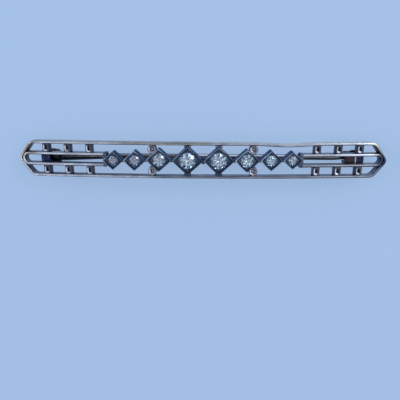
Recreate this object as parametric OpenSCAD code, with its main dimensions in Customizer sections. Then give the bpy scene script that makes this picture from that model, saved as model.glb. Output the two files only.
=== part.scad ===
// Bar brooch: a long pierced frame with a graduated row of eight square box
// settings set on point, two hairpin loops, spacers and cups, and behind it a
// straight pin on a hinge with a turning safety catch. Millimetres.
// It lies face up on its back: X along the bar, Y across it, Z out of the front.
// The origin is on the surface that it lies on, under the middle of the bar.

/* [Outline] */
// Length from nose to nose
brooch_len = 66; // [62:1:72]
// Width across the two rails
brooch_w = 6.45; // [6.35:0.05:6.9]
// Rise of the middle of the front above its ends
camber = 1.8; // [1.4:0.1:2.2]
// Angle of the slanted ends to the rails
slant_deg = 53; // [50:1:58]
// Outer radius of the noses
nose_r = 1; // [0.85:0.05:1.15]
// Outer radius of the four corners between rails and slants
corner_r = 1.6; // [1.2:0.1:2]
// How far the right nose is bent to the lower rail
nose_drop = 0.2; // [0:0.05:0.3]
// How far the lower left corner lies nearer to the middle than the others
corner_back = 0.05; // [0:0.05:0.4]

/* [Rail] */
// Thickness of the rail's strip, seen from the front
rail_t = 0.54; // [0.5:0.02:0.7]
// Depth of the rail's strip, front to back
rail_depth = 1.8; // [1.6:0.1:2.2]
// Place of the worn dent along the upper rail
dent_x = 15; // [12:0.5:17]
// Half length of the dent
dent_half = 6.5; // [4:0.5:7]
// Depth of the dent
dent_deep = 0.27; // [0:0.03:0.36]

/* [Loops] */
// Thickness of a hairpin loop's strip
loop_t = 0.62; // [0.5:0.02:0.7]
// Distance between the two arms of a loop
loop_pitch = 1.9; // [1.8:0.05:2.1]
// How far the loops' round ends sink into the slants inside the noses
loop_sink = 0.2; // [0.1:0.05:0.4]
// How far the loops lie behind the rail's front
loop_set = 0.1; // [0:0.05:0.3]
// Thickness of the strip that closes a loop at the row of stones
strip_t = 0.7; // [0.5:0.05:0.9]

/* [Spacers and cups] */
// Width of a spacer along the bar
spacer_w = 1.16; // [1.1:0.05:1.6]
// Distance of the outer spacers from the noses
spacer_end = 4.9; // [4.2:0.1:5.4]
// Distance from one spacer to the next
spacer_pitch = 3.9; // [3.6:0.1:4.1]
// Depth of a spacer, front to back
spacer_depth = 1.3; // [1:0.1:1.5]
// How far spacers and cups lie behind the rail's front
spacer_set = 0.3; // [0.2:0.05:0.5]
// Depth of the scoops in spacers and cups
scoop_deep = 0.6; // [0.3:0.05:0.8]
// Outer radius of a cup
cup_r = 0.78; // [0.7:0.02:0.9]
// Wall of a cup and of a spacer beside its scoop
cup_wall = 0.3; // [0.2:0.02:0.36]

/* [Settings] */
// Half height of the two largest box settings
box_h = 2.5; // [2.4:0.02:2.58]
// Width of a box setting over its height
box_aspect = 1.1; // [1.06:0.01:1.14]
// Depth of the boxes, front to back
box_depth = 2.1; // [2:0.1:2.5]
// How far the boxes stand in front of the rail
box_proud = 0.2; // [0.1:0.05:0.4]
// Thickness of a box's wall and raised rim
rim_t = 0.17; // [0.14:0.01:0.22]
// Height of the rim over the plate that holds the stone
rim_high = 0.22; // [0.15:0.01:0.3]
// Thickness of the plate that holds the stone
plate_t = 0.5; // [0.4:0.05:0.6]
// Gap between neighbouring boxes, bridged by a neck
box_gap = 0.06; // [0.02:0.02:0.14]
// Height of the necks between boxes
neck_h = 0.5; // [0.4:0.05:0.7]
// Height of the neck between the two largest boxes
neck_mid_h = 1; // [0.8:0.05:1.2]
// Length of the necks along the bar
neck_len = 1.2; // [0.9:0.1:1.4]
// Radius of the grains that hold a stone
grain_r = 0.16; // [0.12:0.01:0.18]
// Width of the tabs that join the largest boxes to the rails
tab_w = 1.2; // [0.8:0.1:1.6]
// How far the tabs run into the boxes' corners
tab_sink = 0.24; // [0.15:0.01:0.24]

/* [Stones] */
// Share of a stone's width that its table takes
table_share = 0.56; // [0.5:0.01:0.6]
// Slope of the crown facets
crown_deg = 33; // [30:1:36]
// Slope of the pavilion facets
pavilion_deg = 41; // [39:0.5:43]
// Thickness of the girdle
girdle_t = 0.06; // [0.04:0.01:0.1]
// Share of a stone's radius where its lower halves end
half_share = 0.25; // [0.2:0.01:0.3]
// Clearance round a stone in its seat
stone_gap = 0.04; // [0.02:0.01:0.06]

/* [Pin and hinge] */
// Radius of the pin's stem
pin_r = 0.5; // [0.45:0.01:0.52]
// Height of the pin's axis over the surface that the brooch lies on
pin_z = 1; // [0.96:0.02:1.04]
// Distance from the pin's axis up to the front of the bar's middle
pin_behind = 4.45; // [4.3:0.05:4.7]
// Length of the stem's taper to its point
taper_len = 5; // [4:0.5:6]
// Radius of the pin's point
point_r = 0.08; // [0.06:0.01:0.12]
// Distance of the hinge from the left nose
hinge_end = 4.3; // [4.1:0.05:4.6]
// How far the rivet lies behind the pin's axis
rivet_drop = 0.2; // [0.1:0.02:0.24]
// Radius of the rivet
rivet_r = 0.28; // [0.24:0.01:0.3]
// Thickness of the rivet's heads
head_t = 0.15; // [0.1:0.01:0.2]
// How far the rivet's heads reach past the rivet
head_over = 0.17; // [0.1:0.01:0.22]
// Running clearance of the pin's eye on the rivet
rivet_gap = 0.05; // [0.03:0.01:0.08]
// Half width of the pin's eye
eye_half = 0.65; // [0.55:0.05:0.7]
// Thickness of a hinge ear
ear_t = 0.48; // [0.4:0.02:0.52]
// Half width of the pin's root at its shoulders
root_half = 1.45; // [1.3:0.05:1.6]
// Half width of the root where it starts to round off
root_mid = 1.25; // [1.05:0.05:1.3]
// Length over which the root rounds off
root_round = 0.7; // [0.5:0.1:0.9]
// Length of the root from its shoulders to the thick end of the stem
root_len = 2; // [1.8:0.1:2.4]
// Thickness of the root
root_t = 0.55; // [0.45:0.05:0.6]
// Length of the cone in which the thick end of the stem rises from the root
root_cone = 1; // [0.8:0.1:1.3]
// Radius of the stem's thick end
swell_r = 0.9; // [0.8:0.02:0.92]
// Length over which the stem thins to its straight part
swell_len = 9; // [7:0.5:10]
// Clearance of the pin's eye, shoulders and point from hinge and catch
pin_clear = 0.1; // [0.08:0.01:0.15]
// How far the hinge's and the catch's bases stand up between a loop's arms
base_rise = 0.45; // [0.3:0.05:0.7]

/* [Catch] */
// Distance of the catch from the right nose
catch_end = 5.4; // [5:0.1:5.6]
// Length of the catch along the bar
catch_len = 3.4; // [3:0.1:3.6]
// Outer radius of the catch's ring
ring_r = 1.2; // [1.18:0.01:1.25]
// Width of the ring's mouth and of the slot in the turning sleeve
mouth_w = 1.12; // [1.08:0.02:1.2]
// Outer radius of the turning sleeve
sleeve_r = 0.8; // [0.78:0.01:0.82]
// Bore radius of the turning sleeve
sleeve_bore_r = 0.57; // [0.56:0.01:0.6]
// Running clearance of the sleeve in the ring
sleeve_gap = 0.04; // [0.02:0.01:0.06]
// Width of the gap in the ring that the thumb tab runs in
tab_gap_w = 1; // [0.9:0.05:1.2]
// Width of the thumb tab
thumb_w = 2.2; // [1.6:0.1:2.4]
// How far the thumb tab stands out of the ring
thumb_out = 0.45; // [0.35:0.05:0.5]
// Thickness of the thumb tab
thumb_t = 0.36; // [0.3:0.02:0.4]
// Angle of the thumb tab over the horizontal with the catch open
thumb_deg = 26; // [20:1:28]

/* [Hidden] */
$fn = 64;
solder = 0.05;
bend_steps = 8;
dent_steps = 12;
arch_fn = 720;
small_fn = 24;
cut = 1;

SILVER = [0.80, 0.80, 0.86];
STEM = [0.52, 0.51, 0.46];
STONE = [0.88, 0.94, 1.0];

front_z = pin_z + pin_behind;
half_len = brooch_len / 2;
half_w = brooch_w / 2;
arch_r = (half_len * half_len + camber * camber) / (2 * camber);
arch_z = front_z - arch_r;
function front_at(x) = arch_z + sqrt(arch_r * arch_r - x * x);

// Corners of the frame before they are rounded, anticlockwise from the right nose
sharp_nose = half_len + nose_r * (1 / sin(slant_deg) - 1);
corner_x = sharp_nose - half_w / tan(slant_deg);
CORNERS = [
    [sharp_nose, -nose_drop],
    [corner_x, half_w],
    [-corner_x, half_w],
    [-sharp_nose, 0],
    [-corner_x + corner_back, -half_w],
    [corner_x, -half_w],
];
BENDS = [nose_r, corner_r, corner_r, nose_r, corner_r, corner_r];

// Loops: their round ends rest on the slants inside the noses
rail_in = half_w - rail_t;
loop_out = (loop_pitch + loop_t) / 2;
loop_in = loop_out - loop_t;
loop_end_x = half_len - nose_r - (loop_out - loop_sink - nose_r + rail_t) / sin(slant_deg);
loop_depth = rail_depth - loop_set - solder;

// Settings, left to right. Columns: size as a share of the largest box, stone as
// a share of the room inside the rim, sideways set of the box as a share of box_h
SIZE = 0;
FILL = 1;
SET = 2;
ROW = [
    [0.655, 0.82, -0.04],
    [0.72, 0.84, -0.02],
    [0.825, 0.85, 0.03],
    [1, 0.86, -0.01],
    [0.99, 0.88, -0.02],
    [0.81, 0.87, 0],
    [0.73, 0.80, 0.02],
    [0.63, 0.84, 0.04],
];
MIDDLE = len(ROW) / 2;
function box_hy(i) = box_h * ROW[i][SIZE];
function box_wx(i) = box_hy(i) * box_aspect;
function box_room(i) = box_wx(i) * box_hy(i) / norm([box_wx(i), box_hy(i)]);
function box_y(i) = box_h * ROW[i][SET];
// Boxes meet corner to corner, and the two largest meet at the middle of the bar
function run(n) = n <= 0 ? 0 : run(n - 1) + 2 * box_wx(n - 1) + box_gap;
function box_x(i) = run(i) + box_wx(i) + box_gap / 2 - run(MIDDLE);
function box_tilt(i) = asin(box_x(i) / arch_r);
function stone_r(i) = (box_room(i) - rim_t) * ROW[i][FILL];
row_end = max(box_x(len(ROW) - 1), -box_x(0)) + box_wx(0);
strip_x = row_end - strip_t / 2;

// Cups: each touches a rail and the side of a box of middling size
CUP_LEFT = MIDDLE - 2;
CUP_RIGHT = MIDDLE + 1;
cup_y = rail_in - cup_r + solder;
function cup_reach(i) =
    box_wx(i) * ((cup_r - solder) / box_room(i) + 1 - cup_y / box_hy(i));

// Spacers at each end, as distances from the middle of the bar
SPACERS = [for (k = [0 : 2]) half_len - spacer_end - k * spacer_pitch];

// Hinge
hinge_x = half_len - hinge_end;
rivet_z = pin_z - rivet_drop;
ear_r = rivet_z;
ear_in = eye_half + rivet_gap;
eye_r = ear_r - pin_clear;
hinge_front = front_at(hinge_x) - rail_depth + base_rise;
shoulder_x = -hinge_x + ear_r + pin_clear;
swell_x = shoulder_x + root_len;
stem_x = swell_x + swell_len;
root_low = rivet_z + rivet_gap;

// Catch
catch_x = half_len - catch_end;
tip_x = catch_x + catch_len / 2 - pin_clear;
catch_front = front_at(catch_x) - rail_depth + base_rise;
thumb_r = ring_r + thumb_out;
thumb_base = ring_r + solder;
thumb_bow = (thumb_w * thumb_w / 4 + thumb_out * thumb_out) / (2 * thumb_out);
thumb_neck = tab_gap_w - 2 * sleeve_gap;

// Outward normal of an edge of an anticlockwise outline
function edge_normal(p, q) = [q[1] - p[1], p[0] - q[0]] / norm(q - p);

// Points of corner i, rounded and moved inwards by inset
function bend(i, inset) =
    let (
        n = len(CORNERS),
        here = CORNERS[i],
        before = edge_normal(CORNERS[(i + n - 1) % n], here),
        after = edge_normal(here, CORNERS[(i + 1) % n]),
        centre = here - BENDS[i] * (before + after) / (1 + before * after),
        start = atan2(before[1], before[0]),
        turn = (atan2(after[1], after[0]) - start + 360) % 360
    )
    [for (s = [0 : bend_steps])
        centre + (BENDS[i] - inset)
            * [cos(start + turn * s / bend_steps), sin(start + turn * s / bend_steps)]];

// Points of the dent in the upper rail, right to left
function dent(inset) = [for (s = [0 : dent_steps])
    [dent_x + dent_half * (1 - 2 * s / dent_steps),
        half_w - inset - dent_deep * (1 - cos(360 * s / dent_steps)) / 2]];

function outline(inset) = concat(bend(0, inset), bend(1, inset), dent(inset),
    bend(2, inset), bend(3, inset), bend(4, inset), bend(5, inset));

// A slab that follows the bar's camber, from front to front - depth
module arch(front, depth) {
    translate([0, 0, arch_z])
        rotate([90, 0, 0])
            difference() {
                cylinder(r = arch_r + front, h = 2 * brooch_w, center = true, $fn = arch_fn);
                cylinder(r = arch_r + front - depth, h = 3 * brooch_w, center = true, $fn = arch_fn);
            }
}

// A flat shape given the bar's camber
module arched(front, depth) {
    intersection() {
        linear_extrude(height = front_z + cut)
            children();
        arch(front, depth);
    }
}

// Carries its children to the front of box i, tilted with the camber
module at_box(i) {
    translate([0, box_y(i), arch_z])
        rotate([0, box_tilt(i), 0])
            translate([0, 0, arch_r + box_proud])
                children();
}

module rhombus(w, h) {
    polygon([[w, 0], [0, h], [-w, 0], [0, -h]]);
}

module rail_shape() {
    difference() {
        polygon(outline(0));
        polygon(outline(rail_t));
    }
}

// One hairpin loop, its arms running back to the row of stones
module loop_shape() {
    arm = loop_end_x - strip_x;
    difference() {
        union() {
            translate([loop_end_x, 0])
                circle(r = loop_out);
            translate([strip_x, -loop_out])
                square([arm, 2 * loop_out]);
        }
        translate([loop_end_x, 0])
            circle(r = loop_in);
        translate([strip_x, -loop_in])
            square([arm, 2 * loop_in]);
    }
}

module strip_shape() {
    translate([strip_x - strip_t / 2, -loop_out])
        square([strip_t, 2 * loop_out]);
}

module both_ends() {
    children();
    mirror([1, 0, 0])
        children();
}

module rail() {
    arched(0, rail_depth)
        rail_shape();
}

module loops() {
    both_ends()
        arched(-loop_set, loop_depth) {
            loop_shape();
            strip_shape();
        }
}

// A block between rail and loop, with an oval scoop in its front
module spacers() {
    low = loop_out - solder;
    high = rail_in + solder;
    scoop_r = spacer_w / 2 - cup_wall;
    mid_y = (low + high) / 2;
    reach = (high - low) / 2 - cup_wall - scoop_r;
    difference() {
        arched(-spacer_set, spacer_depth)
            for (x = SPACERS, sx = [-1, 1], sy = [-1, 1])
                translate([sx * x, sy * mid_y])
                    square([spacer_w, high - low], center = true);
        arched(cut, cut + spacer_set + scoop_deep)
            for (x = SPACERS, sx = [-1, 1], sy = [-1, 1])
                translate([sx * x, sy * mid_y])
                    scoop_shape(scoop_r, reach);
    }
}

module scoop_shape(r, reach) {
    translate([0, reach])
        circle(r = r, $fn = small_fn);
    translate([0, -reach])
        circle(r = r, $fn = small_fn);
    square([2 * r, 2 * reach], center = true);
}

module at_cups() {
    for (sy = [-1, 1]) {
        translate([box_x(CUP_LEFT) - cup_reach(CUP_LEFT), sy * cup_y])
            children();
        translate([box_x(CUP_RIGHT) + cup_reach(CUP_RIGHT), sy * cup_y])
            children();
    }
}

module cups() {
    difference() {
        arched(-spacer_set, spacer_depth)
            at_cups()
                circle(r = cup_r);
        arched(cut, cut + spacer_set + scoop_deep)
            at_cups()
                circle(r = cup_r - cup_wall);
    }
}

// One box setting: walls open behind, a raised rim, and a plate with a seat
module box_setting(i) {
    w = box_wx(i);
    h = box_hy(i);
    room = 1 - rim_t / box_room(i);
    seat_r = stone_r(i) + stone_gap;
    seat_z = -rim_high - girdle_t - stone_gap;
    plate_z = -rim_high - plate_t;
    cone_h = plate_t - girdle_t - stone_gap;
    difference() {
        translate([0, 0, -box_depth])
            linear_extrude(height = box_depth)
                rhombus(w, h);
        translate([0, 0, -rim_high])
            linear_extrude(height = cut)
                rhombus(w * room, h * room);
        translate([0, 0, -box_depth - cut])
            linear_extrude(height = box_depth + cut + plate_z)
                rhombus(w * room, h * room);
        translate([0, 0, seat_z])
            cylinder(r = seat_r, h = cut);
        translate([0, 0, plate_z])
            cylinder(r1 = seat_r - cone_h / tan(pavilion_deg), r2 = seat_r, h = cone_h);
        translate([0, 0, plate_z - cut / 2])
            cylinder(r = seat_r - cone_h / tan(pavilion_deg), h = cut);
    }
    grain_at = seat_r + grain_r + solder / 2;
    for (a = [0 : 90 : 270])
        rotate([0, 0, a])
            translate([grain_at, 0, -rim_high])
                sphere(r = grain_r, $fn = small_fn);
}

module settings() {
    for (i = [0 : len(ROW) - 1])
        at_box(i)
            box_setting(i);
}

// Bars behind the corners where neighbouring boxes meet
module necks() {
    arched(box_proud / 2, box_depth / 2)
        for (i = [0 : len(ROW) - 2])
            translate([box_x(i) + box_wx(i) + box_gap / 2, (box_y(i) + box_y(i + 1)) / 2])
                square([neck_len, i == MIDDLE - 1 ? neck_mid_h : neck_h], center = true);
}

// Tabs that join the two largest boxes to both rails
module tabs() {
    tab_low = box_h - tab_sink;
    arched(0, spacer_depth)
        for (i = [MIDDLE - 1, MIDDLE], sy = [-1, 1])
            translate([box_x(i), sy * (tab_low + rail_in + solder) / 2])
                square([tab_w, rail_in + solder - tab_low], center = true);
}

// Base under the left loop with two ears for the rivet
module hinge() {
    ear_out = ear_in + ear_t;
    translate([-hinge_x, 0, 0])
        difference() {
            union() {
                translate([-ear_r, -ear_out, pin_z + ear_r])
                    cube([2 * ear_r, 2 * ear_out, hinge_front - pin_z - ear_r]);
                for (sy = [-1, 1])
                    translate([0, sy * (ear_in + ear_t / 2), rivet_z])
                        ear();
            }
            translate([0, 0, rivet_z])
                rotate([90, 0, 0])
                    cylinder(r = rivet_r + solder / 2, h = 3 * ear_out, center = true);
        }
}

module ear() {
    rotate([90, 0, 0])
        cylinder(r = ear_r, h = ear_t, center = true);
    translate([-ear_r, -ear_t / 2, 0])
        cube([2 * ear_r, ear_t, hinge_front - rivet_z - solder]);
}

// Base under the right loop with a ring that is open towards the back
module catch() {
    ring_bore = sleeve_r + sleeve_gap;
    base_half = loop_out - 2 * solder;
    translate([catch_x, 0, 0])
        difference() {
            union() {
                translate([-catch_len / 2, -base_half, pin_z + ring_bore])
                    cube([catch_len, 2 * base_half, catch_front - pin_z - ring_bore]);
                intersection() {
                    along_bar(ring_r, catch_len);
                    translate([-catch_len, -2 * ring_r, 0])
                        cube([2 * catch_len, 4 * ring_r, 4 * ring_r]);
                }
            }
            along_bar(ring_bore, 2 * catch_len);
            translate([-catch_len, -mouth_w / 2, -cut])
                cube([2 * catch_len, mouth_w, cut + pin_z]);
            translate([-tab_gap_w / 2, -2 * ring_r, -cut])
                cube([tab_gap_w, 4 * ring_r, cut + pin_z + ring_bore]);
        }
}

// A cylinder on the pin's axis
module along_bar(r, len) {
    translate([0, 0, pin_z])
        rotate([0, 90, 0])
            cylinder(r = r, h = len, center = true);
}

module frame() {
    color(SILVER) {
        rail();
        loops();
        spacers();
        cups();
        settings();
        necks();
        tabs();
        hinge();
        catch();
    }
}

// A round brilliant: table, stars, kites and halves above the girdle, and kites
// and halves down to the culet
module brilliant(r) {
    sides = 8;
    step = 360 / sides;
    table_r = r * table_share / cos(step / 2);
    crown_h = (r - table_r) * tan(crown_deg);
    star_r = (r + table_r) / 2;
    star_z = crown_h - (star_r * cos(step / 2) - table_r) * tan(crown_deg);
    culet_z = -girdle_t - r * tan(pavilion_deg);
    half_r = r * half_share;
    half_z = culet_z + half_r * cos(step / 2) * tan(pavilion_deg);
    function ring(rad, z, n, turn) =
        [for (k = [0 : n - 1]) [rad * cos(turn + k * 360 / n), rad * sin(turn + k * 360 / n), z]];
    table = 0;
    star = sides;
    upper = 2 * sides;
    lower = 4 * sides;
    half = 6 * sides;
    culet = 7 * sides;
    function next(k) = (k + 1) % sides;
    function after(k) = (k + 1) % (2 * sides);
    points = concat(
        ring(table_r, crown_h, sides, 0),
        ring(star_r, star_z, sides, step / 2),
        ring(r, 0, 2 * sides, 0),
        ring(r, -girdle_t, 2 * sides, 0),
        ring(half_r, half_z, sides, step / 2),
        [[0, 0, culet_z]]);
    faces = concat(
        [[for (k = [sides - 1 : -1 : 0]) table + k]],
        [for (k = [0 : sides - 1]) [table + k, table + next(k), star + k]],
        [for (k = [0 : sides - 1]) [table + next(k), upper + 2 * next(k), star + k]],
        [for (k = [0 : sides - 1]) [table + k, star + k, upper + 2 * k]],
        [for (k = [0 : sides - 1]) [star + k, upper + 2 * k + 1, upper + 2 * k]],
        [for (k = [0 : sides - 1]) [star + k, upper + 2 * next(k), upper + 2 * k + 1]],
        [for (k = [0 : 2 * sides - 1]) [upper + k, upper + after(k), lower + k]],
        [for (k = [0 : 2 * sides - 1]) [upper + after(k), lower + after(k), lower + k]],
        [for (k = [0 : sides - 1]) [lower + 2 * k, lower + 2 * k + 1, half + k]],
        [for (k = [0 : sides - 1]) [lower + 2 * k + 1, lower + 2 * next(k), half + k]],
        [for (k = [0 : sides - 1]) [lower + 2 * k, half + k, culet]],
        [for (k = [0 : sides - 1]) [half + k, lower + 2 * next(k), culet]]);
    polyhedron(points = points, faces = faces);
}

module stone(i) {
    color(STONE)
        at_box(i)
            translate([0, 0, -rim_high])
                brilliant(stone_r(i));
}

module stone_1() { stone(0); }
module stone_2() { stone(1); }
module stone_3() { stone(2); }
module stone_4() { stone(3); }
module stone_5() { stone(4); }
module stone_6() { stone(5); }
module stone_7() { stone(6); }
module stone_8() { stone(7); }

module hinge_rivet() {
    ear_out = ear_in + ear_t;
    color(STEM)
        translate([-hinge_x, 0, rivet_z])
            rotate([90, 0, 0]) {
                cylinder(r = rivet_r, h = 2 * ear_out + 2 * head_t, center = true);
                for (s = [-1, 1])
                    translate([0, 0, s * (ear_out + solder / 2 + head_t / 2)])
                        cylinder(r = rivet_r + head_over, h = head_t, center = true);
            }
}

// Eye on the rivet, flat root with shoulders, and a round stem that thins from a
// thick end to its straight part and at last to the point
module pin_stem() {
    color(STEM) {
        difference() {
            union() {
                translate([-hinge_x, 0, rivet_z])
                    rotate([90, 0, 0])
                        cylinder(r = eye_r, h = 2 * eye_half, center = true);
                translate([0, 0, root_low])
                    linear_extrude(height = root_t)
                        polygon([[-hinge_x, eye_half], [-hinge_x, -eye_half],
                            [shoulder_x, -eye_half], [shoulder_x, -root_half],
                            [swell_x - root_round, -root_mid], [swell_x, -swell_r / 2],
                            [swell_x, swell_r / 2], [swell_x - root_round, root_mid],
                            [shoulder_x, root_half], [shoulder_x, eye_half]]);
            }
            translate([-hinge_x, 0, rivet_z])
                rotate([90, 0, 0])
                    cylinder(r = rivet_r + rivet_gap, h = 4 * eye_half, center = true);
        }
        translate([0, 0, pin_z])
            rotate([0, 90, 0])
                rotate_extrude()
                    polygon([[0, swell_x - root_cone], [root_t / 2, swell_x - root_cone],
                        [swell_r, swell_x], [pin_r, stem_x], [pin_r, tip_x - taper_len],
                        [point_r, tip_x], [0, tip_x]]);
    }
}

// Slotted sleeve on the pin's axis with a half-round thumb tab, drawn open
module catch_rotor() {
    color(STEM)
        translate([catch_x, 0, 0])
            difference() {
                union() {
                    along_bar(sleeve_r, catch_len);
                    translate([0, 0, pin_z])
                        rotate([thumb_deg, 0, 0])
                            thumb();
                }
                along_bar(sleeve_bore_r, 2 * catch_len);
                translate([-catch_len, -mouth_w / 2, -cut])
                    cube([2 * catch_len, mouth_w, cut + pin_z]);
            }
}

module thumb() {
    mid_r = (sleeve_bore_r + sleeve_r) / 2;
    translate([0, 0, -thumb_t / 2])
        linear_extrude(height = thumb_t) {
            translate([-thumb_neck / 2, mid_r])
                square([thumb_neck, thumb_base + solder - mid_r]);
            intersection() {
                translate([0, thumb_r - thumb_bow])
                    circle(r = thumb_bow);
                translate([-thumb_w, thumb_base])
                    square([2 * thumb_w, thumb_out]);
            }
        }
}

frame();
stone_1();
stone_2();
stone_3();
stone_4();
stone_5();
stone_6();
stone_7();
stone_8();
hinge_rivet();
pin_stem();
catch_rotor();
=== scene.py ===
from math import cos, radians, sin, tan

import bmesh
import bpy
import numpy as np
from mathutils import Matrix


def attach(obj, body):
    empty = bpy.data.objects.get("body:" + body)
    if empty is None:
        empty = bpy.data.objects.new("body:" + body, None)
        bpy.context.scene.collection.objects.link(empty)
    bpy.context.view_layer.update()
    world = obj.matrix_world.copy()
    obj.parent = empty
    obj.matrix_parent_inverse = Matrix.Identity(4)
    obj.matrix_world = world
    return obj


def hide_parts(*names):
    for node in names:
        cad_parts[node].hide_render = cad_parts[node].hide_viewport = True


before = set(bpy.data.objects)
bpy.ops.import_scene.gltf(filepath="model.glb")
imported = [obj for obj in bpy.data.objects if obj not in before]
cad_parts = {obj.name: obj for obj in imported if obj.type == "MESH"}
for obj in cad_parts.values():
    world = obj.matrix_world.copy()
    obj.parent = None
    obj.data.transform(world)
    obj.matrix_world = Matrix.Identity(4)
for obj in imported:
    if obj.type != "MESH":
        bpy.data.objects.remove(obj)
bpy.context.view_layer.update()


# Rail

# The outline of the brooch: one flat silver strip standing on edge, bent to a long
# hexagon with rounded noses and gently arched from end to end. Its joint is hard
# soldered, its front is rubbed bright with painted shade along its rounded edges and
# in two stretches, and its sides are dark, partly with age and partly as painted shade.

MM = 0.001
BAR_LENGTH = 66.0
BAR_WIDTH = 6.45
CAMBER = 1.8
FRONT_Z = 5.45
SLANT = radians(53)
NOSE_R = 1.0
CORNER_R = 1.6
NOSE_DROP = 0.2
CORNER_BACK = 0.05
RAIL_T = 0.54
RAIL_DEPTH = 1.8
DENT_X = 15.0
DENT_HALF = 6.5
DENT_DEEP = 0.27

ARC_R = ((BAR_LENGTH / 2) ** 2 + CAMBER ** 2) / (2 * CAMBER)
ARC_Z = FRONT_Z - ARC_R
HALF_W = BAR_WIDTH / 2
NOSE_X = BAR_LENGTH / 2 + NOSE_R * (1 / sin(SLANT) - 1)
CORNER_X = NOSE_X - HALF_W / tan(SLANT)
CORNERS = np.array([
    [NOSE_X, -NOSE_DROP], [CORNER_X, HALF_W], [-CORNER_X, HALF_W],
    [-NOSE_X, 0.0], [CORNER_BACK - CORNER_X, -HALF_W], [CORNER_X, -HALF_W]])
BEND_RADII = np.array([NOSE_R, CORNER_R, CORNER_R, NOSE_R, CORNER_R, CORNER_R])


def front_height(x):
    """Height of the bar's front over the table at x: the arc centre's height plus
    the root of the arc radius squared less x squared."""
    return ARC_Z + np.sqrt(ARC_R ** 2 - x ** 2)


def upright(grid, front):
    """Sets a strip square to the arch: a point moves along x by its drop behind the
    front times x over the arc's radius, so the backs of the two ends draw together."""
    grid[..., 0] += np.minimum(grid[..., 2] - front, 0) * grid[..., 0] / ARC_R
    return grid


def smooth(low, high, value):
    """Smooth step from 0 at low to 1 at high: three t squared less two t cubed."""
    t = np.clip((value - low) / (high - low), 0, 1)
    return t * t * (3 - 2 * t)


def full_turn(points):
    """Angles of points spaced evenly round a full turn."""
    return 2 * np.pi * np.arange(points) / points


def round_shape(angle, power):
    """Unit cross-section at an angle: the sign times the absolute cosine and sine to
    two over power, so 2 is a circle, 4 a rounded square and 1 a square on point."""
    c, s = np.cos(angle), np.sin(angle)
    return (np.sign(c) * np.abs(c) ** (2 / power), np.sign(s) * np.abs(s) ** (2 / power))


def hexagon(inset, bend_points=18, run_points=44):
    """The rail's outline moved in by inset: arcs about each corner less its radius
    times (n1 + n2) / (1 + n1.n2), n1 and n2 its edges' normals, and straight runs."""
    edge = np.roll(CORNERS, -1, 0) - CORNERS
    after = np.stack([edge[:, 1], -edge[:, 0]], 1) / np.linalg.norm(edge, axis=1)[:, None]
    before = np.roll(after, 1, 0)
    lean = 1 + (before * after).sum(1)
    centre = CORNERS - BEND_RADII[:, None] * (before + after) / lean[:, None]
    start = np.arctan2(before[:, 1], before[:, 0])
    turn = (np.arctan2(after[:, 1], after[:, 0]) - start) % (2 * np.pi)
    angle = start[:, None] + turn[:, None] * np.linspace(0, 1, bend_points)
    reach = (BEND_RADII - inset)[:, None, None]
    arcs = centre[:, None] + reach * np.stack([np.cos(angle), np.sin(angle)], -1)
    last, first = arcs[:, -1:], np.roll(arcs[:, :1], -1, 0)
    share = np.linspace(0, 1, run_points + 2)[1:-1, None]
    path = np.concatenate([arcs, last + (first - last) * share], 1).reshape(-1, 2)
    across = np.clip((path[:, 0] - DENT_X) / DENT_HALF, -1, 1)
    dent = DENT_DEEP * (1 + np.cos(np.pi * across)) / 2
    path[:, 1] -= np.where(path[:, 1] > HALF_W / 2, dent, 0)
    return path


def strip_on_path(outer, inner, front, back, power=4.0, points=32, outside=0.35,
                  shaded=0.85):
    """Strip between two edge paths: middle plus half the strip's width times the
    section's cosine part, and between front and back by the section's sine part.
    Its front is rubbed bright, and its rounded edges are left dark as painted shade.
    The front is darkened with painted shade below the row from the middle to the right
    and, as shaded says, along the inner edge above it. Its walls keep the dark skin,
    partly tarnish and partly painted shade, and are lightened near the front, partly by
    rubbing and partly as painted light: the outer one to outside, the lower inner one
    to a quarter or half."""
    across, up = round_shape(full_turn(points), power)
    flat = (outer + inner)[:, None] / 2 + (outer - inner)[:, None] / 2 * across[:, None]
    level = front_height(flat[..., 0])
    z = level + (front + back) / 2 + (front - back) / 2 * up
    low, right = smooth(0.3, -0.3, flat[..., 1]), smooth(-11, -8, flat[..., 0])
    # Bright front face; its rounded edges are left dark as painted shade.
    rub_and_painted_light = smooth(0.78, 0.95, up) * (1 - smooth(0.55, 0.90, np.abs(across)))
    # Painted shade: the lower rail's front is darker from the middle to the right.
    rub_and_painted_light = rub_and_painted_light * (1 - low * right * (0.58 + 0.3 * smooth(0.0, 0.4, across)))
    # Painted shade along the inner edge of the upper rail's front.
    inner_edge_shade = smooth(-6, -2, flat[..., 0]) * smooth(-0.1, -0.5, across)
    rub_and_painted_light = rub_and_painted_light * (1 - shaded * (1 - low) * inner_edge_shade)
    # Walls lightened near the front, partly as rubbing and partly as painted light.
    near_front = smooth(-0.6, 0.4, up)
    rub_and_painted_light = np.maximum(rub_and_painted_light, outside * smooth(0.5, 0.9, across) * near_front)
    rub_and_painted_light = np.maximum(rub_and_painted_light, 0.25 * low * (1 + right) * smooth(-0.5, -0.9, across) * near_front)
    return upright(np.concatenate([flat, z[..., None]], -1), level), rub_and_painted_light


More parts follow.
